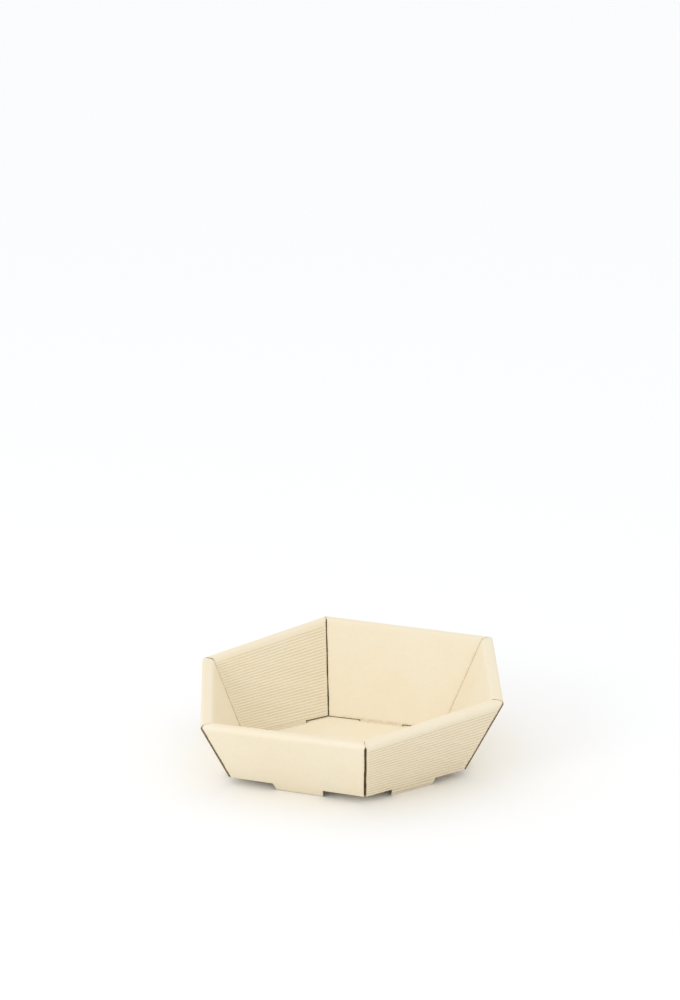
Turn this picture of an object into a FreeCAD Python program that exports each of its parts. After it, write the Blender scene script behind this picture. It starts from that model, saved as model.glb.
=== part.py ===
import FreeCAD, Part
import math
import os

# Open hexagonal tray folded from one die-cut sheet of fine-flute corrugated card.
# Every wall is double: an outer panel rises from the base crease, turns over a
# broad rounded ridge and comes back down as an inner panel whose middle tongue
# drops through a slot in the floor.  Part of each outer panel runs on below its
# crease as a foot.  The sheet is one piece, so the whole tray is one solid.
# Millimetres, +Z up, feet on z = 0, X to the right, Y away from the viewer.

# ---------------------------------------------------------------- dimensions
board = 1.6              # thickness of the corrugated card
foot_height = 8.0        # underside of the base above the ground
ridge_width = 15.0       # flat of the ridge between its two creases
crease_radius = 2.2      # outside radius of the base crease
ridge_out_radius = 4.2   # outside radius of the outer ridge fold
ridge_in_radius = 4.8    # outside radius of the inner ridge fold
ridge_join = 0.6         # where the two modelled halves of a wall meet on the ridge
foot_top = 60.0          # width of a foot at the crease
foot_bottom = 56.5       # width of a foot at the ground
tongue_width = 52.0      # width of the locking tongue of an inner panel
tongue_below = 3.0       # how far a tongue reaches below the base
slot_clear = 0.45        # clearance round a tongue in its slot
slot_end_clear = 1.0     # clearance at each end of a slot
base_edge_overlap = 5.0  # base panel carried under the crease bend

# corners of the base hexagon on its outer creases (x, y), anticlockwise from
# the back; the card is folded by hand, so the hexagon is not quite regular
base_corner = {
    "back": (-3.6, 145.5),
    "back_left": (-127.7, 75.4),
    "front_left": (-137.0, -67.2),
    "front": (6.4, -148.1),
    "front_right": (124.7, -74.7),
    "back_right": (134.3, 75.7),
}
# height of the ridge above the base crease at each corner
ridge_height = {
    "back": 97.0,
    "back_left": 81.6,
    "front_left": 72.4,
    "front": 76.6,
    "front_right": 89.5,
    "back_right": 93.4,
}
# open cut at each corner: (between the outer panels, between the inner panels)
corner_gap = {
    "back": (1.0, 1.3),
    "back_left": (1.6, 0.5),
    "front_left": (3.2, 0.7),
    "front": (3.0, 0.7),
    "front_right": (3.1, 0.7),
    "back_right": (1.6, 0.5),
}
# walls: (from corner, to corner, lean of the outer panel from upright in
# degrees, inset of the inner panel's foot from the outer crease, gap under it,
# shift of the foot and shift of the tongue along the wall from its middle)
walls = {
    "back_left_wall": ("back", "back_left", 32.0, 19.5, 2.0, 0.0, 8.0),
    "left_wall": ("back_left", "front_left", 22.8, 14.5, 1.2, 0.0, 0.0),
    "front_left_wall": ("front_left", "front", 31.2, 18.0, 1.2, 1.8, 0.0),
    "front_right_wall": ("front", "front_right", 29.0, 18.0, 1.2, -2.5, 0.0),
    "right_wall": ("front_right", "back_right", 25.4, 20.5, 1.2, 0.0, 0.0),
    "back_right_wall": ("back_right", "back", 30.7, 28.7, 1.3, 0.0, 7.0),
}
# shift that puts the middle of the footprint on the origin
centre_shift = (-5.63, -6.51)


# ------------------------------------------------------------------- helpers
def sub(a, b):
    return (a[0] - b[0], a[1] - b[1])


def add(a, b, k=1.0):
    return (a[0] + k * b[0], a[1] + k * b[1])


def dot(a, b):
    return a[0] * b[0] + a[1] * b[1]


def unit(a):
    s = math.hypot(a[0], a[1])
    return (a[0] / s, a[1] / s)


def left(a):
    return (-a[1], a[0])


def meet(p, d, q, e):
    """Point where the line p + t d meets the line q + s e, in the plane."""
    den = d[0] * e[1] - d[1] * e[0]
    r = sub(q, p)
    t = (r[0] * e[1] - r[1] * e[0]) / den
    return add(p, d, t)


class Wall:
    """Local frame of one wall: u along the base crease, n outward, z up from
    the underside of the base panel."""

    def __init__(self, name):
        a, b, lean, inset, gap, foot_shift, tongue_shift = walls[name]
        self.name, self.a, self.b = name, a, b
        self.pa, self.pb = base_corner[a], base_corner[b]
        self.U = unit(sub(self.pb, self.pa))
        self.length = math.hypot(*sub(self.pb, self.pa))
        n = left(self.U)
        mid = add(self.pa, self.U, self.length / 2)
        if dot(n, mid) < 0:
            n = (-n[0], -n[1])
        self.N = n
        self.t = math.tan(math.radians(lean))
        self.cos = math.cos(math.radians(lean))
        self.inset, self.gap = inset, gap
        self.foot_u = self.length / 2 + foot_shift
        self.tongue_u = self.length / 2 + tongue_shift

    def xy(self, u, n):
        return add(add(self.pa, self.U, u), self.N, n)

    def vec(self, u, n, z):
        p = self.xy(u, n)
        return FreeCAD.Vector(p[0], p[1], z + foot_height)


W = {name: Wall(name) for name in walls}
order = list(walls)
at_corner = {}
for name in order:
    at_corner.setdefault(W[name].a, []).append(name)
    at_corner.setdefault(W[name].b, []).append(name)

# ridge corners: where the outer planes of two neighbouring walls meet at the
# stated height, and the matching corners of the inner ridge and inner foot
ridge_corner, inner_ridge_corner, inner_foot_corner = {}, {}, {}
for k in base_corner:
    w1, w2 = (W[n] for n in at_corner[k])
    h = ridge_height[k]

    def crossing(n1, n2):
        return meet(w1.xy(0, n1), w1.U, w2.xy(0, n2), w2.U)

    ridge_corner[k] = crossing(h * w1.t, h * w2.t)
    inner_ridge_corner[k] = crossing(h * w1.t - ridge_width, h * w2.t - ridge_width)
    inner_foot_corner[k] = crossing(-w1.inset, -w2.inset)


def height_at(w, u):
    """Ridge height of a wall at the distance u along its base crease."""
    ua = dot(sub(ridge_corner[w.a], w.pa), w.U)
    ub = dot(sub(ridge_corner[w.b], w.pa), w.U)
    f = (u - ua) / (ub - ua)
    return ridge_height[w.a] * (1 - f) + ridge_height[w.b] * f


def strip_wire(w, u, pts, radii):
    """Closed outline of a bent strip of card in the section at u.  pts is its
    outside face, every bend turns left, radii are the outside bend radii."""
    def side(off):
        segs = []
        for i in range(len(pts) - 1):
            d = unit(sub(pts[i + 1], pts[i]))
            m = left(d)
            segs.append((add(pts[i], m, off), add(pts[i + 1], m, off), d))
        out, here = [], segs[0][0]
        for i in range(len(segs) - 1):
            d1, d2 = segs[i][2], segs[i + 1][2]
            v = meet(segs[i][0], d1, segs[i + 1][0], d2)
            r = max(radii[i] - off, 0.3)
            turn = math.acos(max(-1.0, min(1.0, dot(d1, d2))))
            cut = r * math.tan(turn / 2)
            s, e = add(v, d1, -cut), add(v, d2, cut)
            c = add(s, left(d1), r)
            m = add(c, unit(sub(v, c)), r)
            out.append(("line", here, s))
            out.append(("arc", s, m, e))
            here = e
        out.append(("line", here, segs[-1][1]))
        return out

    outer, inner = side(0.0), side(board)
    edges = []
    for s in outer:
        if s[0] == "line":
            edges.append(Part.makeLine(w.vec(u, *s[1]), w.vec(u, *s[2])))
        else:
            edges.append(Part.Arc(w.vec(u, *s[1]), w.vec(u, *s[2]), w.vec(u, *s[3])).toShape())
    edges.append(Part.makeLine(w.vec(u, *outer[-1][2]), w.vec(u, *inner[-1][2])))
    for s in reversed(inner):
        if s[0] == "line":
            edges.append(Part.makeLine(w.vec(u, *s[2]), w.vec(u, *s[1])))
        else:
            edges.append(Part.Arc(w.vec(u, *s[3]), w.vec(u, *s[2]), w.vec(u, *s[1])).toShape())
    edges.append(Part.makeLine(w.vec(u, *inner[0][1]), w.vec(u, *outer[0][1])))
    return Part.Wire(edges)


def section_points(w, u):
    h = height_at(w, u)
    p0 = (-base_edge_overlap - 4.0, 0.0)
    p1 = (0.0, 0.0)
    p2 = (h * w.t, h)
    p3 = (h * w.t - ridge_width, h)
    p4 = (-w.inset, board + w.gap)
    mid = (p2[0] - ridge_width * ridge_join, h)
    return p0, p1, p2, mid, p3, p4


def plan_prism(pts):
    """Upright prism over a polygon in plan, tall enough for the whole tray."""
    vs = [FreeCAD.Vector(p[0], p[1], -20.0) for p in pts]
    face = Part.Face(Part.makePolygon(vs + [vs[0]]))
    return face.extrude(FreeCAD.Vector(0, 0, 160.0))


def sector(w, lines, which):
    """Plan region of a wall between its two corner cuts.  Each cut is the line
    through two plan points (inner, outer); half the gap is taken off it."""
    pts = []
    for k, (inner, outer) in zip((w.a, w.b), lines):
        d = unit(sub(outer, inner))
        m = left(d)
        centre = add(w.pa, w.U, w.length / 2)
        if dot(m, sub(centre, inner)) < 0:
            m = (-m[0], -m[1])
        p, q = add(inner, d, -30.0), add(outer, d, 40.0)
        half = corner_gap[k][which] / 2
        pts.append((add(p, m, half), add(q, m, half)))
    (pi, po), (qi, qo) = pts
    return plan_prism([pi, po, qo, qi])


def box_between(w, u0, u1, n0, n1, z0, z1):
    pts = [w.vec(u0, n0, z0), w.vec(u1, n0, z0), w.vec(u1, n1, z0), w.vec(u0, n1, z0)]
    face = Part.Face(Part.makePolygon(pts + [pts[0]]))
    return face.extrude(FreeCAD.Vector(0, 0, z1 - z0))


def prism_loft(sections):
    """Solid between two parallel polygons with the same number of corners."""
    wires = [Part.makePolygon(s + [s[0]]) for s in sections]
    return Part.makeLoft(wires, True, True)


def solid_of(shape):
    solids = shape.Solids
    return solids[0] if len(solids) == 1 else max(solids, key=lambda s: s.Volume)


# ---------------------------------------------------------------- base panel
def inset_polygon(distance):
    out = []
    for k in base_corner:
        w1, w2 = (W[n] for n in at_corner[k])
        out.append(meet(w1.xy(0, -distance), w1.U, w2.xy(0, -distance), w2.U))
    return out


poly = [FreeCAD.Vector(p[0], p[1], foot_height) for p in inset_polygon(base_edge_overlap)]
tray = Part.Face(Part.makePolygon(poly + [poly[0]])).extrude(FreeCAD.Vector(0, 0, board))

# --------------------------------------------------------------------- walls
pieces, cuts = [], []
for name in order:
    w = W[name]
    u0, u1 = -70.0, w.length + 70.0
    outer_secs, inner_secs = [], []
    for u in (u0, u1):
        p0, p1, p2, mid, p3, p4 = section_points(w, u)
        outer_secs.append(strip_wire(w, u, [p0, p1, p2, mid], [crease_radius, ridge_out_radius]))
        inner_secs.append(strip_wire(w, u, [mid, p3, p4], [ridge_in_radius]))
    outer_strip = Part.makeLoft(outer_secs, True, True)
    inner_strip = Part.makeLoft(inner_secs, True, True)

    outer_cut = sector(w, [(base_corner[w.a], ridge_corner[w.a]),
                           (base_corner[w.b], ridge_corner[w.b])], 0)
    inner_cut = sector(w, [(inner_foot_corner[w.a], inner_ridge_corner[w.a]),
                           (inner_foot_corner[w.b], inner_ridge_corner[w.b])], 1)
    outer_panel = solid_of(outer_strip.common(outer_cut))
    inner_panel = solid_of(inner_strip.common(inner_cut))

    # foot: the crease is cut away over the foot and the outer panel runs on
    foot_hole = box_between(w, w.foot_u - foot_top / 2, w.foot_u + foot_top / 2,
                            -foot_height / w.cos - 0.6, 3.0, -1.0, 3.4)
    outer_panel = solid_of(outer_panel.cut(foot_hole))
    tk = board / w.cos
    foot_secs = []
    for n_off in (0.0, -tk):
        ring = []
        for z, half in ((-foot_height, foot_bottom / 2), (0.0, foot_top / 2),
                        (4.4, foot_top / 2)):
            ring.append((z, half))
        left_side = [w.vec(w.foot_u - h2, z * w.t + n_off, z) for z, h2 in ring]
        right_side = [w.vec(w.foot_u + h2, z * w.t + n_off, z) for z, h2 in reversed(ring)]
        foot_secs.append(left_side + right_side)
    foot = prism_loft(foot_secs)
    cuts.append(foot_hole)

    # locking tongue of the inner panel and its slot in the base
    p3, p4 = section_points(w, w.tongue_u)[4:6]
    d = unit(sub(p4, p3))
    m = left(d)
    zt = -tongue_below
    low = add(p4, d, (p4[1] - zt) / -d[1])
    high = add(p4, d, -6.0)
    tongue_secs = []
    for u in (w.tongue_u - tongue_width / 2, w.tongue_u + tongue_width / 2):
        q3, q4 = section_points(w, u)[4:6]
        e = unit(sub(q4, q3))
        f = left(e)
        a = add(q4, e, -6.0)
        b = add(q4, e, (q4[1] - zt) / -e[1])
        tongue_secs.append([w.vec(u, *a), w.vec(u, *b),
                            w.vec(u, *add(b, f, board)), w.vec(u, *add(a, f, board))])
    tongue = prism_loft(tongue_secs)
    slope = d[0] / d[1]
    n_face_top = p4[0] + (board - p4[1]) * slope
    n_face_low = p4[0] + (0.0 - p4[1]) * slope
    across = board / abs(d[1])
    slot = box_between(w, w.tongue_u - tongue_width / 2 - slot_end_clear,
                       w.tongue_u + tongue_width / 2 + slot_end_clear,
                       min(n_face_low, n_face_top) - slot_clear,
                       max(n_face_low, n_face_top) + across + slot_clear,
                       -0.5, board + 0.5)
    cuts.append(slot)

    wall = solid_of(inner_panel.fuse(tongue))
    wall = solid_of(wall.fuse(outer_panel))
    wall = solid_of(wall.fuse(foot))
    pieces.append(wall)
    print(name, "volume", round(wall.Volume, 1), "valid", wall.isValid())

for c in cuts:
    tray = tray.cut(c)
tray = solid_of(tray)
for p in pieces:
    tray = solid_of(tray.fuse(p))
tray = solid_of(tray.removeSplitter())
tray.translate(FreeCAD.Vector(centre_shift[0], centre_shift[1], 0))

bb = tray.optimalBoundingBox()
print("solids", len(tray.Solids), "valid", tray.isValid(), "volume", round(tray.Volume, 1))
print("box", [round(v, 3) for v in (bb.XMin, bb.YMin, bb.ZMin, bb.XMax, bb.YMax, bb.ZMax)])
for k in base_corner:
    print(k, "ridge", [round(v, 1) for v in ridge_corner[k]], "inner foot",
          [round(v, 1) for v in inner_foot_corner[k]])

os.makedirs("parts", exist_ok=True)
tray.exportStep("parts/tray.step")
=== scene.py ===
import bpy, bmesh, math
import numpy as np
from mathutils import Matrix, Vector
from mathutils.geometry import delaunay_2d_cdt


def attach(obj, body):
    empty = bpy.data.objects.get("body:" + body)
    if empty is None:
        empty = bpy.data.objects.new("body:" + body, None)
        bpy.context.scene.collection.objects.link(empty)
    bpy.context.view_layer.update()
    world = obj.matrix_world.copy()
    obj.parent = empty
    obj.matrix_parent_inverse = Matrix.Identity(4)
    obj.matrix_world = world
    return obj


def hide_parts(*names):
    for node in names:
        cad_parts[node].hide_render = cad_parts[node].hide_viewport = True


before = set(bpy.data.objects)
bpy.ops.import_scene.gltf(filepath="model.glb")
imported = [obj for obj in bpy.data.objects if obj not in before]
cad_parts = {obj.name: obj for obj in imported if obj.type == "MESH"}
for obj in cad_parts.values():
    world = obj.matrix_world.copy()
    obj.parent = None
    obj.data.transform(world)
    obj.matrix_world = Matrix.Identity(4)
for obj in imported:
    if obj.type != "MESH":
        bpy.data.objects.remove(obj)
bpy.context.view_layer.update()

# Open hexagonal tray folded from one sheet of fine-flute card.  Lengths here are
# in millimetres and become metres when a mesh is made.  Each wall is one bent
# strip of card with two skins, a fluted core that shows at its cut edges as a
# recess painted dark for the shade in the flutes, a foot below its crease and a
# locking tongue below its inner panel.

# ---------------------------------------------------------------- dimensions
board = 1.6
foot_height = 8.0
ridge_width = 15.0
crease_radius = 2.2
ridge_out_radius = 4.2
ridge_in_radius = 4.8
# open cut between neighbouring walls at each corner: outer panels, ridges and
# inner panels; the folds press the ridges and most inner panels together
corner_gaps = {
    "back": (1.0, 0.2, 1.3),
    "back_left": (1.6, 0.12, 0.06),
    "front_left": (3.2, 0.12, 0.3),
    "front": (3.0, 0.2, 0.3),
    "front_right": (3.1, 0.12, 0.3),
    "back_right": (1.6, 0.12, 0.06),
}
# at the two front side corners the side wall runs on to the mitre, so that its cut
# edge stands in view beside the front wall
outer_half = {
    ("left", "front_left"): 0.1, ("front_left", "front_left"): 2.9,
    ("right", "front_right"): 0.1, ("front_right", "front_right"): 2.8,
}
foot_top, foot_bottom = 60.0, 56.5
tongue_width, tongue_below = 52.0, 3.0
slot_clear, slot_end_clear = 0.45, 1.0
base_edge = 4.0          # where the base panel meets the crease bends
liner = 0.27             # thickness of one paper liner
core_depth = 1.3         # how far one sees into the flutes at a cut edge

base_corner = {
    "back": (-3.6, 145.5),
    "back_left": (-127.7, 75.4),
    "front_left": (-137.0, -67.2),
    "front": (6.4, -148.1),
    "front_right": (124.7, -74.7),
    "back_right": (134.3, 75.7),
}
ridge_height = {
    "back": 97.0, "back_left": 81.6, "front_left": 72.4,
    "front": 76.6, "front_right": 89.5, "back_right": 93.4,
}
# (from, to, lean, inset of the inner foot, gap under it, rib pitch or 0 where the
# face is smooth, spacing of the open flutes along the cut edges at the two ends,
# shift of the foot and of the tongue along the wall, clearance on the visible
# side of the slot)
walls = {
    "back_left": ("back", "back_left", 32.0, 19.5, 2.0, 3.43, 3.7, 3.8, 0.0, 8.0, 0.6),
    "left": ("back_left", "front_left", 22.8, 14.5, 1.2, 0.0, 4.6, 5.8, 0.0, 0.0, 0.2),
    "front_left": ("front_left", "front", 31.2, 18.0, 1.2, 0.0, 7.0, 4.4, 1.8, 0.0, 0.2),
    "front_right": ("front", "front_right", 29.0, 18.0, 1.2, 4.7, 3.7, 3.8, -2.5, 0.0, 0.2),
    "right": ("front_right", "back_right", 25.4, 20.5, 1.2, 0.0, 5.4, 6.8, 0.0, 0.0, 0.2),
    "back_right": ("back_right", "back", 30.7, 28.7, 1.3, 0.0, 6.4, 4.4, 0.0, 7.0, 0.12),
}
centre_shift = (-5.63, -6.51)
rib_depths = {"back_left": 0.46, "front_right": 0.66}   # from crest to valley


# ------------------------------------------------------------------- helpers
def sub(a, b): return (a[0] - b[0], a[1] - b[1])
def add(a, b, k=1.0): return (a[0] + k * b[0], a[1] + k * b[1])
def dot(a, b): return a[0] * b[0] + a[1] * b[1]


def unit(a):
    s = math.hypot(a[0], a[1])
    return (a[0] / s, a[1] / s)


def left_of(a): return (-a[1], a[0])


def meet(p, d, q, e):
    den = d[0] * e[1] - d[1] * e[0]
    r = sub(q, p)
    return add(p, d, (r[0] * e[1] - r[1] * e[0]) / den)


def smooth(x):
    x = np.clip(x, 0.0, 1.0)
    return x * x * (3.0 - 2.0 * x)


def wobble(seed, x, length):
    """Smooth wavering line with an amplitude of about one."""
    rng = np.random.RandomState(seed)
    x = np.asarray(x, dtype=float)
    out = np.zeros_like(x)
    for k in range(4):
        f = (1.0 + 0.9 * k) * (0.85 + 0.3 * rng.rand()) / length
        out += np.sin(2 * math.pi * (x * f + rng.rand())) / (1.0 + 0.8 * k)
    return out / 1.7


class Wall:
    def __init__(self, name, index):
        (self.a, self.b, lean, self.inset, self.gap, self.pitch, self.flute_a,
         self.flute_b, foot_shift, tongue_shift, self.slit) = walls[name]
        self.name, self.index = name, index
        self.pa, self.pb = base_corner[self.a], base_corner[self.b]
        self.U = unit(sub(self.pb, self.pa))
        self.length = math.hypot(*sub(self.pb, self.pa))
        self.foot_u = self.length / 2 + foot_shift
        self.tongue_u = self.length / 2 + tongue_shift
        n = left_of(self.U)
        if dot(n, add(self.pa, self.U, self.length / 2)) < 0:
            n = (-n[0], -n[1])
        self.N = n
        self.lean = math.radians(lean)
        self.t = math.tan(self.lean)

    def xy(self, u, n): return add(add(self.pa, self.U, u), self.N, n)

    def local(self, p):
        r = sub(p, self.pa)
        return (dot(r, self.U), dot(r, self.N))

    def world(self, u, n, z):
        u, n, z = np.broadcast_arrays(u, n, z)
        x = self.pa[0] + self.U[0] * u + self.N[0] * n + centre_shift[0]
        y = self.pa[1] + self.U[1] * u + self.N[1] * n + centre_shift[1]
        return np.stack([x, y, z + foot_height], axis=-1)


W = {name: Wall(name, i) for i, name in enumerate(walls)}
at_corner = {}
for name in walls:
    at_corner.setdefault(W[name].a, []).append(name)
    at_corner.setdefault(W[name].b, []).append(name)
ridge_corner, inner_ridge_corner, inner_foot_corner = {}, {}, {}
for k in base_corner:
    w1, w2 = (W[n] for n in at_corner[k])
    h = ridge_height[k]

    def crossing(n1, n2):
        return meet(w1.xy(0, n1), w1.U, w2.xy(0, n2), w2.U)

    ridge_corner[k] = crossing(h * w1.t, h * w2.t)
    inner_ridge_corner[k] = crossing(h * w1.t - ridge_width, h * w2.t - ridge_width)
    inner_foot_corner[k] = crossing(-w1.inset, -w2.inset)


# ------------------------------------------------------- section of one wall
def height_at(w, u):
    ua = dot(sub(ridge_corner[w.a], w.pa), w.U)
    ub = dot(sub(ridge_corner[w.b], w.pa), w.U)
    f = (u - ua) / (ub - ua)
    return ridge_height[w.a] * (1 - f) + ridge_height[w.b] * f


def section(w, u, kind, f):
    """Point (n, z) on the outside face of the strip at u and its outward normal.
    kind names the stretch of the strip and f runs along it."""
    u = np.asarray(u, dtype=float)
    h = height_at(w, u)
    s1, c1 = math.sin(w.lean), math.cos(w.lean)
    one = np.ones_like(u)
    p2n, p2z = h * w.t, h
    p3n, p3z = p2n - ridge_width, h
    en, ez = -w.inset - p3n, (board + w.gap) - p3z
    le = np.hypot(en, ez)
    d3n, d3z = en / le, ez / le
    cut0 = crease_radius * math.tan((math.pi / 2 - w.lean) / 2)
    turn2 = math.pi / 2 + w.lean
    cut2 = ridge_out_radius * math.tan(turn2 / 2)
    turn3 = np.arccos(np.clip(-d3n, -1, 1))
    cut3 = ridge_in_radius * np.tan(turn3 / 2)
    la = h / c1
    if kind == "bend":       # crease bend, f from 0 at the base to 1 at the wall
        turn = math.pi / 2 - w.lean
        ang = -math.pi / 2 + turn * f
        cn, cz = -cut0, crease_radius
        return (one * (cn + crease_radius * math.cos(ang)),
                one * (cz + crease_radius * math.sin(ang)),
                one * math.cos(ang), one * math.sin(ang))
    if kind == "under":      # flat stretch of the base beside the bend
        return one * (-base_edge + f * (base_edge - cut0)), 0 * one, 0 * one, -one
    if kind == "foot":       # f from 0 at the ground to 1 at the start of the wall
        s = -foot_height / c1 + f * (foot_height / c1 + cut0)
        return one * s * s1, one * s * c1, one * c1, -one * s1
    if kind == "A":
        s = cut0 + f * (la - cut2 - cut0)
        return s * s1, s * c1, one * c1, -one * s1
    if kind == "B":
        sn, sz = p2n - cut2 * s1, p2z - cut2 * c1
        cn, cz = sn - c1 * ridge_out_radius, sz + s1 * ridge_out_radius
        ang = -w.lean + turn2 * f
        return (cn + ridge_out_radius * math.cos(ang), cz + ridge_out_radius * math.sin(ang),
                one * math.cos(ang), one * math.sin(ang))
    if kind == "C":
        x = cut2 + f * (ridge_width - cut2 - cut3)
        return p2n - x, p2z + 0 * x, 0 * one, one
    if kind == "D":
        cn, cz = p3n + cut3, p3z - ridge_in_radius
        ang = math.pi / 2 + turn3 * f
        return (cn + ridge_in_radius * np.cos(ang), cz + ridge_in_radius * np.sin(ang),
                np.cos(ang), np.sin(ang))
    s = cut3 + f * (le - cut3) if kind == "E" else le + f * (
        (board + w.gap + tongue_below) / -d3z)
    return p3n + d3n * s, p3z + d3z * s, d3z, -d3n


def lengths(w, u):
    """Lengths of the outer and the inner panel between their bends."""
    h = height_at(w, np.asarray(u, dtype=float))
    cut0 = crease_radius * math.tan((math.pi / 2 - w.lean) / 2)
    cut2 = ridge_out_radius * math.tan((math.pi / 2 + w.lean) / 2)
    en, ez = -w.inset - (h * w.t - ridge_width), (board + w.gap) - h
    le = np.hypot(en, ez)
    cut3 = ridge_in_radius * np.tan(np.arccos(np.clip(-en / le, -1, 1)) / 2)
    return h / math.cos(w.lean) - cut2 - cut0, le - cut3


def mitre(w, end, kind, f, n):
    """u of the cut edge of the wall on the row (kind, f), at the offset n."""
    k = w.a if end == 0 else w.b
    lines = {
        "out": (w.local(base_corner[k]), w.local(ridge_corner[k]),
                outer_half.get((w.name, k), corner_gaps[k][0] / 2)),
        "top": (w.local(inner_ridge_corner[k]), w.local(ridge_corner[k]), corner_gaps[k][1] / 2),
        "in": (w.local(inner_foot_corner[k]), w.local(inner_ridge_corner[k]),
               corner_gaps[k][2] / 2),
    }

    def at(which):
        (ui, ni), (uo, no), half = lines[which]
        du, dn = uo - ui, no - ni
        u = ui + du * (n - ni) / dn
        side = 1.0 if end == 0 else -1.0
        return u + side * half * math.hypot(du, dn) / abs(dn)

    if kind in ("under", "bend", "foot", "A"):
        return at("out")
    if kind == "B":
        g = float(smooth(1.7 * f))
        return at("out") * (1 - g) + at("top") * g
    if kind == "C":
        return at("top")
    if kind == "D":
        g = float(smooth(f))
        return at("top") * (1 - g) + at("in") * g
    return at("in")


def row_ends(w, kind, f):
    out = []
    for end in (0, 1):
        k = w.a if end == 0 else w.b
        u = w.local(ridge_corner[k])[0]
        for _ in range(7):
            n = float(section(w, np.array([u]), kind, f)[0][0])
            u = mitre(w, end, kind, f, n)
        out.append(u)
    return out


# -------------------------------------------------------------- mesh builder
# material slots; the third paints the shade inside the cut flutes dark
FACE, EDGE, FLUTE_SHADE, MEDIUM = 0, 1, 2, 3


class Mesh:
    def __init__(self):
        self.verts, self.quads, self.tris = [], [], []
        self.qmat, self.tmat = [], []
        self.attr = {"wear": [], "fold_and_ridge_light": [], "valley": []}
        self.count = 0

    def points(self, p, wear=0.0, fold_and_ridge_light=0.0, valley=0.0):
        p = np.asarray(p, dtype=float).reshape(-1, 3)
        first = self.count
        self.verts.append(p)
        for key, v in (("wear", wear), ("fold_and_ridge_light", fold_and_ridge_light), ("valley", valley)):
            self.attr[key].append(np.broadcast_to(np.asarray(v, dtype=float).reshape(-1)
                                                  if np.ndim(v) else float(v), (len(p),)).copy())
        self.count += len(p)
        return first

    def add_quads(self, q, mat):
        q = np.asarray(q, dtype=np.int64).reshape(-1, 4)
        self.quads.append(q)
        self.qmat.append(np.full(len(q), mat))

    def add_tris(self, t, mat):
        t = np.asarray(t, dtype=np.int64).reshape(-1, 3)
        self.tris.append(t)
        self.tmat.append(np.full(len(t), mat))

    def build(self, name, materials, weld=2e-6, sharp=52.0):
        v = np.concatenate(self.verts) / 1000.0
        me = bpy.data.meshes.new(name)
        q = np.concatenate(self.quads) if self.quads else np.zeros((0, 4), int)
        t = np.concatenate(self.tris) if self.tris else np.zeros((0, 3), int)
        mats = np.concatenate(self.qmat + self.tmat)
        me.vertices.add(len(v))
        me.vertices.foreach_set("co", v.ravel())
        loops = np.concatenate([q.ravel(), t.ravel()])
        me.loops.add(len(loops))
        me.loops.foreach_set("vertex_index", loops)
        me.polygons.add(len(q) + len(t))
        starts = np.concatenate([np.arange(len(q)) * 4, len(q) * 4 + np.arange(len(t)) * 3])
        me.polygons.foreach_set("loop_start", starts)
        me.polygons.foreach_set("material_index", mats.astype(int))
        for key, parts in self.attr.items():
            a = me.attributes.new(key, "FLOAT", "POINT")
            a.data.foreach_set("value", np.concatenate(parts))
        me.update(calc_edges=True)
        for m in materials:
            me.materials.append(m)
        bm = bmesh.new()
        bm.from_mesh(me)
        bmesh.ops.remove_doubles(bm, verts=bm.verts, dist=weld)
        thin = [f for f in bm.faces if f.calc_area() < 1e-13]
        if thin:
            bmesh.ops.delete(bm, geom=thin, context="FACES")
        loose = [x for x in bm.verts if not x.link_faces]
        if loose:
            bmesh.ops.delete(bm, geom=loose, context="VERTS")
        bm.to_mesh(me)
        bm.free()
        me.polygons.foreach_set("use_smooth", np.ones(len(me.polygons), dtype=bool))
        me.set_sharp_from_angle(angle=math.radians(sharp))
        me.update()
        ob = bpy.data.objects.new(name, me)
        bpy.context.scene.collection.objects.link(ob)
        return ob


def strip_quads(a, b, flip):
    """Quads between two rows of vertex numbers."""
    a, b = np.asarray(a), np.asarray(b)
    q = np.stack([a[:-1], a[1:], b[1:], b[:-1]], axis=1)
    return q[:, ::-1] if flip else q


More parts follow.
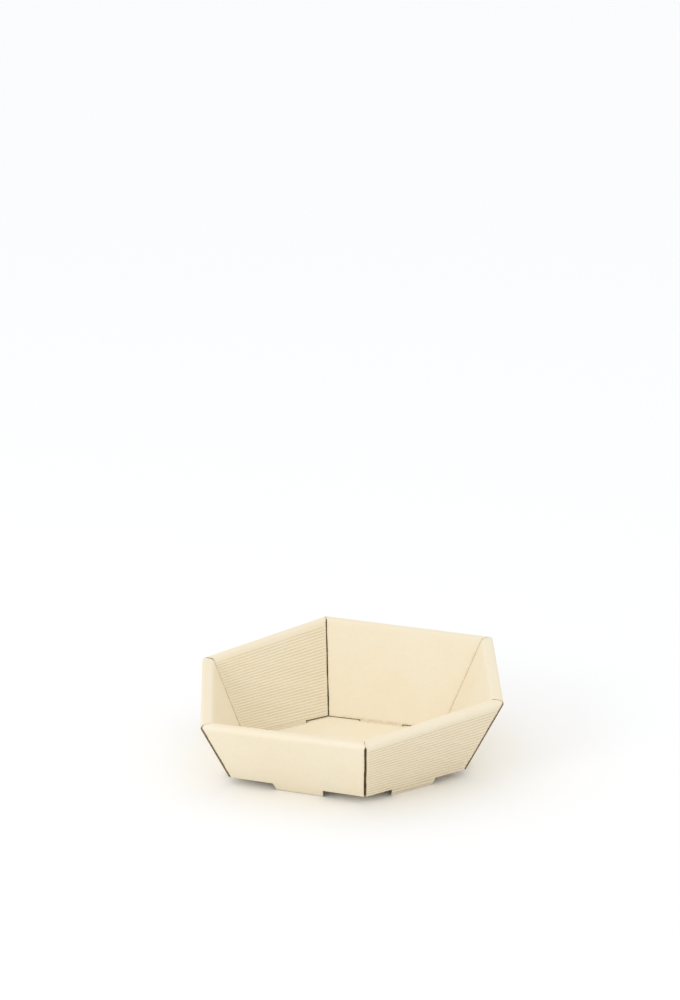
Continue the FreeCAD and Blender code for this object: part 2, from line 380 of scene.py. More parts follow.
def cut_edge(mb, po, pi, inward, flute, phase, ribbon=True, depth=core_depth):
    """Raw cut edge of the card between its two skins: a paper liner along each
    skin, a shallow recess between them painted dark brown as the shade inside
    the flutes, and the wavy medium standing in it."""
    po, pi = np.asarray(po, float), np.asarray(pi, float)
    inward = np.asarray(inward, float)
    inward = inward / np.linalg.norm(inward, axis=1, keepdims=True)
    t = pi - po
    th = np.linalg.norm(t, axis=1, keepdims=True)
    lip = liner / th
    prof = [po, po + t * lip, po + t * lip + inward * depth,
            pi - t * lip + inward * depth, pi - t * lip, pi]
    ids = []
    for k, p in enumerate(prof):
        first = mb.points(p, wear=1.0 if k in (0, 5) else 0.8)
        ids.append(np.arange(first, first + len(p)))
    along = po[-1] - po[0]
    along = along if np.linalg.norm(along) > 1e-6 else po[1] - po[0]
    face_n = np.cross(po[1] - po[0], t[0])
    flip = float(np.dot(face_n, inward[0])) > 0
    # quad [a0, a1, b1, b0] has the normal along x t
    # the three recess strips are painted dark as the shade inside the flutes
    for k, mat in ((0, EDGE), (1, FLUTE_SHADE), (2, FLUTE_SHADE), (3, FLUTE_SHADE), (4, EDGE)):
        mb.add_quads(strip_quads(ids[k], ids[k + 1], flip), mat)
    if not ribbon:
        return
    mid = (po + pi) / 2
    seg = np.linalg.norm(np.diff(mid, axis=0), axis=1)
    dist = np.concatenate([[0], np.cumsum(seg)])
    total = dist[-1]
    m = max(int(total / flute * 14), 6)
    l = np.linspace(0.12, total - 0.12, m)
    span = 0.5 - (liner + 0.10) / board
    ph = 2 * math.pi * l / flute + phase + 0.25 * wobble(int(phase * 97) % 9973, l, 23.0)
    frac = 0.5 + span * np.sin(ph)
    slope = span * board * np.gradient(np.sin(ph), l)
    nrm = np.sqrt(1 + slope ** 2)
    ht = 0.12

    def place(ll, ff, deep):
        cols = [np.interp(ll, dist, po[:, i]) for i in range(3)]
        tt = np.stack([np.interp(ll, dist, t[:, i]) for i in range(3)], axis=1)
        iw = np.stack([np.interp(ll, dist, inward[:, i]) for i in range(3)], axis=1)
        return np.stack(cols, axis=1) + tt * ff[:, None] + iw * deep

    r1 = (l - ht * slope / nrm, frac + ht / nrm / board)
    r2 = (l + ht * slope / nrm, frac - ht / nrm / board)
    deeps = (0.10, depth)
    ids = []
    for (ll, ff), dp in ((r1, deeps[1]), (r1, deeps[0]), (r2, deeps[0]), (r2, deeps[1])):
        first = mb.points(place(ll, ff, dp), wear=0.6)
        ids.append(np.arange(first, first + m))
    for k in (0, 1, 2):
        mb.add_quads(strip_quads(ids[k], ids[k + 1], not flip), MEDIUM)


# --------------------------------------------------------------- one wall
def rib_shape(phase):
    """Rounded crests and narrow valleys, from 0 on a crest to -1 in a valley."""
    f = np.cos(phase) - 0.22 * np.cos(2 * phase)
    return (f - 0.80) / 2.02


def rows_of(w):
    mid_u = w.length / 2
    la, le = lengths(w, mid_u)
    rows = []                # (kind, f, rib phase, fade, paler folds with painted ridge highlight, distance from the foot edge)
    if w.pitch:
        ribs_a, ribs_e = round(float(la) / w.pitch), round(float(le) / w.pitch)
        na, ne = ribs_a * 8, ribs_e * 8
    else:
        ribs_a, ribs_e = 0, 0
        na, ne = 34, 38
    c1 = math.cos(w.lean)
    nf = 20 if w.pitch else 6
    for i in range(nf):
        f = i / nf
        s = -foot_height / c1 + f * foot_height / c1
        rows.append(("foot", f, 2 * math.pi * s / (w.pitch or 1), 1.0, 0.0, 99.0))
    for i in range(na + 1):
        f = i / na
        s = f * float(la)
        ph = 2 * math.pi * ribs_a * f
        fade = float(smooth((float(la) - s - 0.8) / 5.5))
        fold_and_ridge_light = float(np.exp(-(s / 1.6) ** 2) * 0.6 + np.exp(-((float(la) - s) / 2.5) ** 2))
        rows.append(("A", f, ph, fade, fold_and_ridge_light, 99.0))
    # ridge rows B, C and D are paler: partly real whitening of the folded card, partly a painted
    # highlight on the up-facing ridge (0.75 on its flat top)
    for i in range(1, 14):
        rows.append(("B", i / 14, 0.0, 0.0, 1.0, 99.0))
    for i in range(0, 5):
        rows.append(("C", i / 4, 0.0, 0.0, 0.75, 99.0))
    for i in range(1, 9):
        rows.append(("D", i / 9, 0.0, 0.0, 1.0, 99.0))
    for i in range(ne + 1):
        f = i / ne
        s = f * float(le)
        ph = 2 * math.pi * ribs_e * f
        fade = float(smooth((s - 1.0) / 5.0) * smooth((float(le) - s) / 1.5))
        fold_and_ridge_light = float(np.exp(-(s / 2.5) ** 2))
        rows.append(("E", f, ph, fade, fold_and_ridge_light, float(le) - s))
    for i in range(1, 6):
        rows.append(("T", i / 5, 0.0, 0.0, 0.0, 99.0))
    return rows


def columns_of(w, row_a, row_e):
    """Fractions across the wall, with exact columns at the foot and the tongue."""
    (a0, a1), (e0, e1) = row_a, row_e
    exact = [0.0, 1.0]
    exact += [(w.foot_u + s * foot_top / 2 - a0) / (a1 - a0) for s in (-1, 1)]
    exact += [(w.tongue_u + s * tongue_width / 2 - e0) / (e1 - e0) for s in (-1, 1)]
    span = a1 - a0 + 14.0
    near = [x / span for x in (0.45, 1.1, 2.2, 4.2, 7.2)]
    soft = near + [1 - x for x in near] + list(np.linspace(0.062, 0.938, 38))
    cols = list(exact)
    for v in soft:
        if min(abs(v - x) for x in cols) > 0.35 / span * 1.2:
            cols.append(v)
    # no soft column too near an exact one
    keep = [v for v in cols if v in exact or min(abs(v - x) for x in exact) > 0.4 / span]
    return np.array(sorted(keep)), exact


def make_wall(w, mats):
    mb = Mesh()
    rows = rows_of(w)
    mid = w.length / 2
    first_a = next(i for i, r in enumerate(rows) if r[0] == "A")
    last_e = max(i for i, r in enumerate(rows) if r[0] == "E")
    ends = [row_ends(w, r[0] if r[0] != "T" else "E", r[1] if r[0] != "T" else 1.0) for r in rows]
    v, exact = columns_of(w, ends[first_a], ends[last_e])
    vf0, vf1 = exact[2], exact[3]
    vt0, vt1 = exact[4], exact[5]
    jf0, jf1 = int(np.argmin(abs(v - vf0))), int(np.argmin(abs(v - vf1)))
    jt0, jt1 = int(np.argmin(abs(v - vt0))), int(np.argmin(abs(v - vt1)))
    nc, nr = len(v), len(rows)
    outer = np.zeros((nr, nc, 3))
    inner = np.zeros((nr, nc, 3))
    fold_and_ridge_light = np.zeros((nr, nc))
    valley = np.zeros((nr, nc))
    wear = np.zeros((nr, nc))
    seed = 100 + 17 * w.index
    path = 0.0
    # distance along the strip, for the wavering of the cut edges
    dist = np.zeros(nr)
    um = np.array([mid])
    prev = None
    for i, r in enumerate(rows):
        n, z, _, _ = section(w, um, r[0], r[1])
        if prev is not None:
            dist[i] = dist[i - 1] + math.hypot(float(n[0]) - prev[0], float(z[0]) - prev[1])
        prev = (float(n[0]), float(z[0]))
    for i, (kind, f, ph, fade, fo, near_foot) in enumerate(rows):
        ua, ub = ends[i]
        ga, gb = (corner_gaps[k][0 if kind in ("foot", "A") else 1 if kind in "BCD" else 2]
                  for k in (w.a, w.b))
        ra, rb = (min(0.24, 0.22 * g) for g in (ga, gb))
        ua = ua + ra * float(wobble(seed + 1, dist[i], 47.0)) \
            + 0.3 * ra * float(wobble(seed + 3, dist[i], 9.0))
        ub = ub + rb * float(wobble(seed + 2, dist[i], 52.0)) \
            + 0.3 * rb * float(wobble(seed + 4, dist[i], 8.0))
        u = ua + v * (ub - ua)
        if kind == "foot":
            ua0, ub0 = ends[first_a]
            base_u = ua0 + v * (ub0 - ua0)
            zc = float(section(w, um, kind, f)[1][0])
            taper = 1.0 - (1.0 - foot_bottom / foot_top) * float(np.clip(-zc / foot_height, 0, 1))
            u = w.foot_u + (base_u - w.foot_u) * taper
        if kind == "A":
            # the foot's edges run straight on into the wall for a few millimetres
            ua0, ub0 = ends[first_a]
            g = float(smooth(1 - dist[i] / 30.0)) if i == first_a else 0.0
            u = u * (1 - g) + (ua0 + v * (ub0 - ua0)) * g
        n, z, nn, nz = section(w, u, kind, f)
        # gentle bow of the two panels and wavering of the ridge
        bow = np.zeros(nc)
        if kind == "A":
            bow = 0.45 * np.sin(math.pi * v) * math.sin(math.pi * f) * math.sin(seed * 1.3) \
                + 0.16 * np.sin(math.pi * v) * wobble(seed + 5, u + 40 * f, 90.0)
        elif kind == "E":
            bow = 0.55 * np.sin(math.pi * v) * math.sin(math.pi * f) * math.cos(seed * 0.7) \
                + 0.18 * np.sin(math.pi * v) * wobble(seed + 6, u + 60 * f, 80.0)
        elif kind in ("B", "C", "D"):
            bow = 0.14 * wobble(seed + 7, u, 70.0) * np.sin(math.pi * v)
        rib = np.zeros(nc)
        if w.pitch and fade > 0:
            cross = 0.35 + 0.65 * smooth(np.minimum(v, 1 - v) * (ub - ua) / 5.0)
            low = np.ones(nc)
            if kind == "A":
                s = dist[i] - dist[first_a]
                low = np.full(nc, float(smooth((s + 0.3) / 2.5)))
                low[jf0:jf1 + 1] = 1.0
            amp = rib_depths[w.name] * (1 + 0.12 * wobble(seed + 8, u * 0.6 + dist[i] * 1.7, 40.0))
            jitter = 0.35 * wobble(seed + 9, u + 3 * dist[i], 120.0)
            rib = amp * fade * cross * low * rib_shape(ph + jitter)
            # painted shade in the rib valleys, a quarter stronger on the front right wall
            valley[i] = -rib / rib_depths[w.name] * (1.25 if w.name == "front_right" else 1.0)
        d = bow + rib
        d_in = bow + 0.35 * rib
        # softly rolled liner at the cut edges
        edge_mm = np.minimum(v, 1 - v) * (ub - ua)
        if kind not in ("foot", "T"):
            d = d - 0.16 * np.exp(-(edge_mm / 0.7) ** 2)
        outer[i] = w.world(u, n + d * nn, z + d * nz)
        inner[i] = w.world(u, n - (board - d_in) * nn, z - (board - d_in) * nz)
        fold_and_ridge_light[i] = fo
        wear[i] = np.exp(-edge_mm / 0.9) if kind not in ("foot", "T") else 0.0
        if near_foot < 20:
            wear[i] = np.maximum(wear[i], math.exp(-near_foot / 0.9))
    fold_and_ridge_light[:first_a] = 0
    fold_and_ridge_light[first_a:first_a + 6, jf0:jf1 + 1] = 0

    active = np.ones((nr - 1, nc - 1), dtype=bool)
    active[:first_a, :] = False
    active[:first_a, jf0:jf1] = True
    active[last_e:, :] = False
    active[last_e:, jt0:jt1] = True
    used = np.zeros((nr, nc), dtype=bool)
    for di in (0, 1):
        for dj in (0, 1):
            used[di:nr - 1 + di, dj:nc - 1 + dj] |= active
    number = -np.ones((nr, nc), dtype=int)
    first = mb.points(outer[used], wear[used], fold_and_ridge_light[used], valley[used])
    number[used] = first + np.arange(used.sum())
    number_in = -np.ones((nr, nc), dtype=int)
    first = mb.points(inner[used], wear[used], fold_and_ridge_light[used] * 0.5, 0.0)
    number_in[used] = first + np.arange(used.sum())
    ii, jj = np.where(active)
    q = np.stack([number[ii, jj], number[ii, jj + 1], number[ii + 1, jj + 1], number[ii + 1, jj]], axis=1)
    qi = np.stack([number_in[ii, jj], number_in[ii, jj + 1], number_in[ii + 1, jj + 1],
                   number_in[ii + 1, jj]], axis=1)
    # outward side: compare with the section's normal on one face of row A
    i, j = first_a + 3, nc // 2
    fn = np.cross(outer[i, j + 1] - outer[i, j], outer[i + 1, j] - outer[i, j])
    out = outer[i, j] - inner[i, j]
    flip = float(np.dot(fn, out)) < 0
    mb.add_quads(q[:, ::-1] if flip else q, FACE)
    mb.add_quads(qi if flip else qi[:, ::-1], FACE)

    # crease bends on both sides of the foot, down to the base panel
    for side, (ja, jb) in enumerate(((0, jf0), (jf1, nc - 1))):
        br = [("under", 0.0), ("under", 0.5)] + [("bend", k / 7) for k in range(8)]
        po, pi = [], []
        for kind, f in br[:-1]:
            ua, ub = row_ends(w, kind, f)
            a0, b0 = ends[first_a]
            vv = v[ja:jb + 1]
            u0 = a0 + vv * (b0 - a0)
            # keep the foot side straight and let the corner side follow the mitre
            if side == 0:
                g = (u0[-1] - u0) / (u0[-1] - u0[0])
                u = u0 + g * (ua - u0[0])
            else:
                g = (u0 - u0[0]) / (u0[-1] - u0[0])
                u = u0 + g * (ub - u0[-1])
            n, z, nn, nz = section(w, u, kind, f)
            po.append(w.world(u, n, z))
            pi.append(w.world(u, n - board * nn, z - board * nz))
        po.append(outer[first_a, ja:jb + 1])
        pi.append(inner[first_a, ja:jb + 1])
        po, pi = np.array(po), np.array(pi)
        k, m = po.shape[:2]
        fo = np.repeat(np.array([0, 0.3] + [0.9] * (k - 2)), m)
        a = mb.points(po, 0.0, fo) + np.arange(k * m).reshape(k, m)
        b = mb.points(pi, 0.0, fo * 0.5) + np.arange(k * m).reshape(k, m)
        for r in range(k - 1):
            mb.add_quads(strip_quads(a[r], a[r + 1], flip), FACE)
            mb.add_quads(strip_quads(b[r], b[r + 1], not flip), FACE)
        for col, jn in ((0, 1), (m - 1, m - 2)):
            inw = po[:, jn] - po[:, col]
            is_foot = (side == 0 and col == m - 1) or (side == 1 and col == 0)
            cut_edge(mb, po[:, col], pi[:, col], inw, 3.4, 1.0 + side, ribbon=is_foot)
        # closes the end under the base panel
        mb.add_quads(strip_quads(a[0], b[0], not flip), FACE)

    # cut edges: the two mitred ends
    rng = slice(first_a, last_e + 1)
    for col, jn, fl in ((0, 2, w.flute_a), (nc - 1, nc - 3, w.flute_b)):
        cut_edge(mb, outer[rng, col], inner[rng, col], outer[rng, jn] - outer[rng, col],
                 fl, 0.7 + 1.9 * w.index + (0.8 if col else 0.0))
    # foot of the inner panel on both sides of the tongue
    for ja, jb in ((0, jt0), (jt1, nc - 1)):
        s = slice(ja, jb + 1)
        cut_edge(mb, outer[last_e, s], inner[last_e, s], outer[last_e - 3, s] - outer[last_e, s],
                 5.2, 2.1 + w.index)
    # tongue
    for j, jn in ((jt0, jt0 + 2), (jt1, jt1 - 2)):
        s = slice(last_e, nr)
        cut_edge(mb, outer[s, j], inner[s, j], outer[s, jn] - outer[s, j], 3.4, 0.4 + j)
    s = slice(jt0, jt1 + 1)
    cut_edge(mb, outer[nr - 1, s], inner[nr - 1, s], outer[nr - 2, s] - outer[nr - 1, s], 5.0, 0.9)
    # foot
    for j, jn in ((jf0, jf0 + 2), (jf1, jf1 - 2)):
        s = slice(0, first_a + 1)
        cut_edge(mb, outer[s, j], inner[s, j], outer[s, jn] - outer[s, j], 3.4, 0.2 + j)
    s = slice(jf0, jf1 + 1)
    cut_edge(mb, outer[0, s], inner[0, s], outer[1, s] - outer[0, s], 5.6, 1.3 + w.index)
    ob = mb.build("wall_" + w.name, mats)
    return ob


# --------------------------------------------------------------- base panel
def make_base(mats):
    poly = []
    slots = []
    order = list(walls)
    for idx, name in enumerate(order):
        w = W[name]
        prev_w = W[order[idx - 1]]
        corner = meet(w.xy(0, -base_edge), w.U, prev_w.xy(0, -base_edge), prev_w.U)
        poly.append(corner)
        foot_u, tongue_u = w.foot_u, w.tongue_u
        deep = -foot_height / math.cos(w.lean) - 0.6
        deep = min(deep, -6.5)
        for u, n in ((foot_u - foot_top / 2, -base_edge), (foot_u - foot_top / 2, deep),
                     (foot_u + foot_top / 2, deep), (foot_u + foot_top / 2, -base_edge)):
            poly.append(w.xy(u, n))
        h = height_at(w, tongue_u)
        p3 = (float(h) * w.t - ridge_width, float(h))
        p4 = (-w.inset, board + w.gap)
        d = unit(sub(p4, p3))
        slope = d[0] / d[1]
        nt = p4[0] + (board - p4[1]) * slope
        nl = p4[0] - p4[1] * slope
        n0 = min(nt, nl) - w.slit
        n1 = max(nt, nl) + board / abs(d[1]) + slot_clear
        hw = tongue_width / 2 + slot_end_clear
        slots.append([w.xy(tongue_u - hw, n0), w.xy(tongue_u + hw, n0),
                      w.xy(tongue_u + hw, n1), w.xy(tongue_u - hw, n1)])

    def fine(loop, step):
        out = []
        for i, p in enumerate(loop):
            q = loop[(i + 1) % len(loop)]
            m = max(1, int(round(math.hypot(*sub(q, p)) / step)))
            out += [add(p, sub(q, p), k / m) for k in range(m)]
        return out

    def inside(p, loop):
        hit = False
        for i in range(len(loop)):
            a, b = loop[i], loop[(i + 1) % len(loop)]
            if (a[1] > p[1]) != (b[1] > p[1]) and \
                    p[0] < (b[0] - a[0]) * (p[1] - a[1]) / (b[1] - a[1]) + a[0]:
                hit = not hit
        return hit

    def dist_to(p, loop):
        best = 1e9
        for i in range(len(loop)):
            a, b = loop[i], loop[(i + 1) % len(loop)]
            ab = sub(b, a)
            t = max(0.0, min(1.0, dot(sub(p, a), ab) / max(dot(ab, ab), 1e-9)))
            best = min(best, math.hypot(*sub(p, add(a, ab, t))))
        return best

    area = sum(poly[i][0] * poly[(i + 1) % len(poly)][1] - poly[(i + 1) % len(poly)][0] * poly[i][1]
               for i in range(len(poly)))
    if area < 0:
        poly.reverse()
    slots = [s if sum(s[i][0] * s[(i + 1) % 4][1] - s[(i + 1) % 4][0] * s[i][1]
                      for i in range(4)) > 0 else s[::-1] for s in slots]
    pts, edges = [], []
    for loop in [fine(poly, 6.0)] + [fine(s, 6.0) for s in slots]:
        k = len(pts)
        pts += loop
        edges += [(k + i, k + (i + 1) % len(loop)) for i in range(len(loop))]
    step = 5.0
    for iy in range(-32, 33):
        for ix in range(-30, 31):
            p = (ix * step + (step / 2 if iy % 2 else 0), iy * step * 0.87)
            if inside(p, poly) and dist_to(p, poly) > 2.2 and \
                    all(not inside(p, s) and dist_to(p, s) > 2.2 for s in slots):
                pts.append(p)
    cv, ce, cf, _, _, _ = delaunay_2d_cdt([Vector(p) for p in pts], edges, [], 0, 1e-6)
    tris = []
    for f in cf:
        if len(f) != 3:
            continue
        c = ((cv[f[0]].x + cv[f[1]].x + cv[f[2]].x) / 3, (cv[f[0]].y + cv[f[1]].y + cv[f[2]].y) / 3)
        if inside(c, poly) and not any(inside(c, s) for s in slots):
            a, b, d = (cv[i] for i in f)
            area = (b.x - a.x) * (d.y - a.y) - (d.x - a.x) * (b.y - a.y)
            tris.append(f if area > 0 else [f[0], f[2], f[1]])
    xy = np.array([(p.x, p.y) for p in cv])
    border = np.array([dist_to(p, poly) for p in xy])
    slot_d = np.array([min(dist_to(p, s) for s in slots) for p in xy])
    flat = smooth(border / 22.0)
    wave = flat * (0.22 * wobble(31, xy[:, 0] + 0.4 * xy[:, 1], 150.0)
                   + 0.22 * wobble(37, xy[:, 1] - 0.3 * xy[:, 0], 130.0))
    top = np.stack([xy[:, 0] + centre_shift[0], xy[:, 1] + centre_shift[1],
                    foot_height + board + wave], axis=1)
    low = top.copy()
    low[:, 2] = foot_height + wave
    mb = Mesh()
    near = np.minimum(border, slot_d)
    a = mb.points(top, wear=np.exp(-near / 0.9), fold_and_ridge_light=0.0)
    b = mb.points(low, wear=np.exp(-near / 0.9), fold_and_ridge_light=np.exp(-border / 2.0) * 0.3)
    tris = np.array(tris)
    mb.add_tris(tris + a, FACE)
    mb.add_tris(tris[:, ::-1] + b, FACE)
    # boundary edges, chained into loops with the card on their left
    count = {}
    for f in tris:
        for k in range(3):
            count[(f[k], f[(k + 1) % 3])] = True
    nxt = {e[0]: e[1] for e in count if (e[1], e[0]) not in count}
    while nxt:
        start = next(iter(nxt))
        loop = [start]
        cur = nxt.pop(start)
        while cur != start and cur in nxt:
            loop.append(cur)
            cur = nxt.pop(cur)
        loop.append(start)
        loop = np.array(loop)
        # split at sharp corners so that each straight cut has its own inward side
        p = xy[loop]
        d = np.diff(p, axis=0)
        d = d / np.linalg.norm(d, axis=1, keepdims=True)
        cuts = [0] + [i for i in range(1, len(d)) if float(d[i] @ d[i - 1]) < 0.97] + [len(d)]
        for i0, i1 in zip(cuts[:-1], cuts[1:]):
            ids = loop[i0:i1 + 1]
            dd = d[i0]
            inward = np.tile(np.array([-dd[1], dd[0], 0.0]), (len(ids), 1))
            if len(ids) < 2:
                continue
            cut_edge(mb, low[ids], top[ids], inward, 4.4, 0.3 + 0.1 * i0,
                     ribbon=len(ids) > 3, depth=0.7)
    return mb.build("base_panel", mats, sharp=40.0)


# ---------------------------------------------------------------- materials
def node(nt, kind, x, y, **kw):
    n = nt.nodes.new(kind)
    n.location = (x, y)
    for k, v in kw.items():
        setattr(n, k, v)
    return n


def paper(name, colour, shade=1.0, fibre=1.0, raw=False, flute_dir=None):
    """Matte paper: mottled tone, fibres, a few specks, worn edges, paler folds with a painted highlight
    along the ridge, and painted shade in the rib valleys.
    """
    m = bpy.data.materials.new(name)
    m.use_nodes = True
    nt = m.node_tree
    nt.nodes.clear()
    L = nt.links.new
    outn = node(nt, "ShaderNodeOutputMaterial", 1400, 0)
    bsdf = node(nt, "ShaderNodeBsdfPrincipled", 1100, 0)
    L(bsdf.outputs[0], outn.inputs[0])
    bsdf.inputs["Roughness"].default_value = 0.86
    bsdf.inputs["Specular IOR Level"].default_value = 0.22
    tc = node(nt, "ShaderNodeTexCoord", -1400, 0)

    def noise(scale, detail, rough, y, distortion=0.0):
        n = node(nt, "ShaderNodeTexNoise", -1000, y)
        n.inputs["Scale"].default_value = scale
        n.inputs["Detail"].default_value = detail
        n.inputs["Roughness"].default_value = rough
        n.inputs["Distortion"].default_value = distortion
        L(tc.outputs["Object"], n.inputs["Vector"])
        return n

    def ramp(src, lo, hi, y, c0=(0, 0, 0, 1), c1=(1, 1, 1, 1), x=-700):
        r = node(nt, "ShaderNodeMapRange", x, y)
        r.inputs["From Min"].default_value = lo
        r.inputs["From Max"].default_value = hi
        L(src, r.inputs["Value"])
        return r.outputs["Result"]

    def mix(a, b, fac, x, y, blend="MIX"):
        mx = node(nt, "ShaderNodeMix", x, y, data_type="RGBA", blend_type=blend)
        if hasattr(fac, "is_linked") or not isinstance(fac, (int, float)):
            L(fac, mx.inputs[0])
        else:
            mx.inputs[0].default_value = fac
        for s, i in ((a, 6), (b, 7)):
            if isinstance(s, tuple):
                mx.inputs[i].default_value = s
            else:
                L(s, mx.inputs[i])
        return mx.outputs[2]

    def times(src, k, x, y):
        mm = node(nt, "ShaderNodeMath", x, y, operation="MULTIPLY")
        L(src, mm.inputs[0])
        mm.inputs[1].default_value = k
        return mm.outputs[0]

    c = tuple(v * shade for v in colour) + (1.0,)
    dark = (c[0] * 0.945, c[1] * 0.935, c[2] * 0.90, 1.0)
    warm = (c[0] * 1.0, c[1] * 0.972, c[2] * 0.93, 1.0)
    cloud = noise(16.0, 3.0, 0.5, 500)
    mottle = noise(210.0, 4.0, 0.62, 250)
    fine = noise(1500.0, 3.0, 0.7, 0, 0.6)
    spots = node(nt, "ShaderNodeTexVoronoi", -1000, -250)
    spots.inputs["Scale"].default_value = 330.0
    L(tc.outputs["Object"], spots.inputs["Vector"])
    col = mix(c, warm, ramp(cloud.outputs[0], 0.38, 0.66, 500), -400, 500)
    col = mix(col, dark, times(ramp(mottle.outputs[0], 0.45, 0.72, 250), 0.42, -550, 250), -200, 400)
    col = mix(col, (c[0] * 0.88, c[1] * 0.86, c[2] * 0.80, 1.0),
              times(ramp(fine.outputs[0], 0.52, 0.78, 0), 0.30 * fibre, -550, 0), 0, 300)
    # sparse darker fibres
    speck = node(nt, "ShaderNodeMath", -700, -250, operation="LESS_THAN")
    L(spots.outputs["Distance"], speck.inputs[0])
    speck.inputs[1].default_value = 0.085
    pick = node(nt, "ShaderNodeMath", -550, -250, operation="MULTIPLY")
    sel = ramp(mottle.outputs[0], 0.55, 0.62, -400)
    L(speck.outputs[0], pick.inputs[0])
    L(sel, pick.inputs[1])
    col = mix(col, (c[0] * 0.62, c[1] * 0.52, c[2] * 0.40, 1.0),
              times(pick.outputs[0], 0.45, -400, -250), 200, 200)
    if not raw:
        wear = node(nt, "ShaderNodeAttribute", -1000, -500, attribute_name="wear")
        fold_and_ridge_light = node(nt, "ShaderNodeAttribute", -1000, -650, attribute_name="fold_and_ridge_light")
        valley = node(nt, "ShaderNodeAttribute", -1000, -800, attribute_name="valley")
        breakup = node(nt, "ShaderNodeMath", -550, -500, operation="MULTIPLY")
        L(wear.outputs["Fac"], breakup.inputs[0])
        L(ramp(mottle.outputs[0], 0.25, 0.65, -500), breakup.inputs[1])
        col = mix(col, (c[0] * 0.72, c[1] * 0.62, c[2] * 0.46, 1.0),
                  times(breakup.outputs[0], 0.75, -400, -500), 400, 100)
        # paler where the card is folded, with a painted highlight along the up-facing ridge
        fb = node(nt, "ShaderNodeMath", -550, -650, operation="MULTIPLY")
        L(fold_and_ridge_light.outputs["Fac"], fb.inputs[0])
        L(ramp(mottle.outputs[0], 0.35, 0.7, -650), fb.inputs[1])
        col = mix(col, (min(c[0] * 1.03, 1), min(c[1] * 1.03, 1), min(c[2] * 1.06, 1), 1.0),
                  times(fb.outputs[0], 0.5, -400, -650), 600, 50)
        # painted shade: darker in the rib valleys
        col = mix(col, (c[0] * 0.74, c[1] * 0.69, c[2] * 0.58, 1.0),
                  times(valley.outputs["Fac"], 0.62, -400, -800), 800, 0)
    L(col, bsdf.inputs["Base Color"])
    rough = node(nt, "ShaderNodeMapRange", 800, -250)
    rough.inputs["To Min"].default_value = 0.78
    rough.inputs["To Max"].default_value = 0.95
    L(mottle.outputs[0], rough.inputs["Value"])
    L(rough.outputs["Result"], bsdf.inputs["Roughness"])
    # fibres in relief
    hsum = node(nt, "ShaderNodeMath", 500, -450, operation="ADD")
    L(times(fine.outputs[0], 0.4, 300, -450), hsum.inputs[0])
    L(times(mottle.outputs[0], 0.6, 300, -550), hsum.inputs[1])
    height = hsum.outputs[0]
    if flute_dir is not None:
        # the flutes just showing through the liner, running across the wall
        dotp = node(nt, "ShaderNodeVectorMath", -700, -1000, operation="DOT_PRODUCT")
        L(tc.outputs["Object"], dotp.inputs[0])
        k = 2 * math.pi / 0.0034
        dotp.inputs[1].default_value = tuple(k * x for x in flute_dir)
        warp = times(cloud.outputs[0], 2.5, -550, -1100)
        ad = node(nt, "ShaderNodeMath", -400, -1000, operation="ADD")
        L(dotp.outputs["Value"], ad.inputs[0])
        L(warp, ad.inputs[1])
        sn = node(nt, "ShaderNodeMath", -200, -1000, operation="SINE")
        L(ad.outputs[0], sn.inputs[0])
        h2 = node(nt, "ShaderNodeMath", 600, -700, operation="ADD")
        L(height, h2.inputs[0])
        L(times(sn.outputs[0], 0.35, 0, -1000), h2.inputs[1])
        height = h2.outputs[0]
    bump = node(nt, "ShaderNodeBump", 900, -450)
    bump.inputs["Strength"].default_value = 0.55
    bump.inputs["Distance"].default_value = 0.00006
    L(height, bump.inputs["Height"])
    L(bump.outputs["Normal"], bsdf.inputs["Normal"])
    return m


cream = (0.868, 0.785, 0.612)
raw_edge = paper("card_cut_edge", (0.62, 0.49, 0.31), raw=True)
# painted shade: the recess inside the cut flutes is dark brown for the shade there
flute_shade_mat = paper("card_flute_shade", (0.17, 0.125, 0.07), raw=True)
medium_mat = paper("card_medium", (0.44, 0.33, 0.195), raw=True)


def flute_axis(w):
    """Direction across the flutes on the wall's outer panel: the flutes lie
    parallel to the two ribbed walls in the flat sheet."""
    flat = W["front_right"].U
    perp = (-flat[1], flat[0])
    un, nn = dot(perp, w.U), dot(perp, w.N)
    d = np.array([w.U[0], w.U[1], 0.0]) * un + \
        np.array([w.N[0] * math.sin(w.lean), w.N[1] * math.sin(w.lean), math.cos(w.lean)]) * nn
    return tuple(float(x) for x in d / np.linalg.norm(d))


objects = []
for name in walls:
    w = W[name]
    face = paper("card_" + name, cream, flute_dir=None if w.pitch else flute_axis(w))
    objects.append(make_wall(w, [face, raw_edge, flute_shade_mat, medium_mat]))
# painted light: the base is the same card as the walls, made 5% lighter for its up-facing floor
objects.append(make_base([paper("card_base", cream, shade=1.05), raw_edge, flute_shade_mat, medium_mat]))
for ob in objects:
    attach(ob, "root")
    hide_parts("tray")
    print(ob.name, "triangles", sum(len(p.vertices) - 2 for p in ob.data.polygons))

# -------------------------------------------------------------------- stage
floor_mesh = bpy.data.meshes.new("floor")
fb = bmesh.new()
bmesh.ops.create_grid(fb, x_segments=1, y_segments=1, size=9.0)
fb.to_mesh(floor_mesh)
fb.free()
floor = bpy.data.objects.new("floor", floor_mesh)
floor.location = (0, 3.0, -0.0003)
bpy.context.scene.collection.objects.link(floor)
fm = bpy.data.materials.new("floor_white")
fm.use_nodes = True
fp = fm.node_tree.nodes["Principled BSDF"]
fp.inputs["Base Color"].default_value = (0.966, 0.971, 0.98, 1)
fp.inputs["Roughness"].default_value = 0.9
fp.inputs["Specular IOR Level"].default_value = 0.1
floor_mesh.materials.append(fm)

world = bpy.data.worlds.new("studio")
bpy.context.scene.world = world
world.use_nodes = True
bg = world.node_tree.nodes["Background"]
bg.inputs["Color"].default_value = (1.0, 1.0, 1.0, 1)
bg.inputs["Strength"].default_value = 1.0


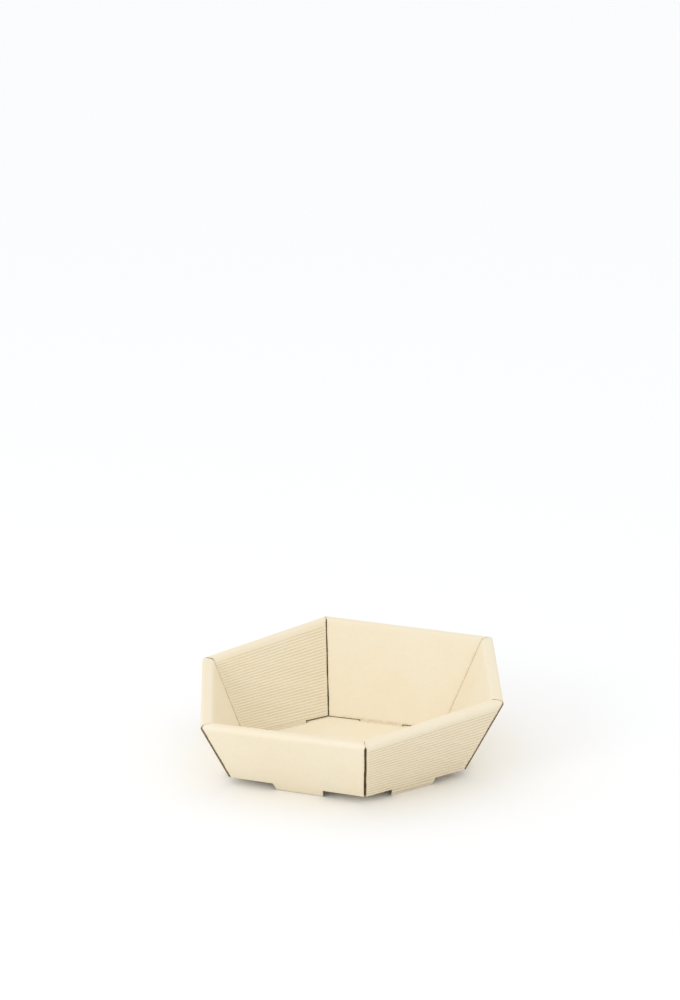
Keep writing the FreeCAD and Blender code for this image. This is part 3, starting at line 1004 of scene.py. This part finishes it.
def area_light(name, pos, target, size, energy, colour=(1, 1, 1)):
    ld = bpy.data.lights.new(name, "AREA")
    ld.shape = "DISK"
    ld.size = size
    ld.energy = energy
    ld.color = colour
    lo = bpy.data.objects.new(name, ld)
    lo.location = pos
    d = Vector(target) - Vector(pos)
    lo.rotation_euler = d.to_track_quat("-Z", "Y").to_euler()
    bpy.context.scene.collection.objects.link(lo)
    return lo


area_light("key", (-2.2, -1.9, 1.5), (0, 0, 0.05), 1.2, 13.0)

# ------------------------------------------------------------------- camera
# weak perspective view from the front, a little above the rim
pitch, azim, roll = math.radians(15.02), math.radians(4.31), math.radians(-0.98)
focal_px, distance = 3102.0, 3500.0
aim_px = (347.9, 751.6)
fwd = np.array([0, math.cos(pitch), -math.sin(pitch)])
up = np.array([0, math.sin(pitch), math.cos(pitch)])
right = np.array([1.0, 0, 0])
R2 = right * math.cos(roll) + up * math.sin(roll)
U2 = -right * math.sin(roll) + up * math.cos(roll)
ray = fwd + (aim_px[0] - 340.0) / focal_px * R2 - (aim_px[1] - 500.0) / focal_px * U2
pos = -ray / np.linalg.norm(ray) * distance
ca, sa = math.cos(-azim), math.sin(-azim)
turn = np.array([[ca, -sa, 0], [sa, ca, 0], [0, 0, 1.0]])
pos = turn @ pos + np.array([centre_shift[0], centre_shift[1], foot_height])
axes = [turn @ a for a in (R2, U2, -fwd)]
cam_data = bpy.data.cameras.new("camera")
cam_data.sensor_fit = "HORIZONTAL"
cam_data.sensor_width = 36.0
cam_data.lens = focal_px / 680.0 * 36.0
cam_data.clip_start = 0.05
cam_data.clip_end = 60.0
cam = bpy.data.objects.new("camera", cam_data)
bpy.context.scene.collection.objects.link(cam)
m = Matrix.Identity(4)
for j, a in enumerate(axes):
    for i in range(3):
        m[i][j] = float(a[i])
for i in range(3):
    m[i][3] = float(pos[i]) / 1000.0
cam.matrix_world = m
bpy.context.scene.camera = cam

vs = bpy.context.scene.view_settings
vs.view_transform = "Standard"
vs.look = "None"
vs.exposure = 0.0
vs.gamma = 1.0
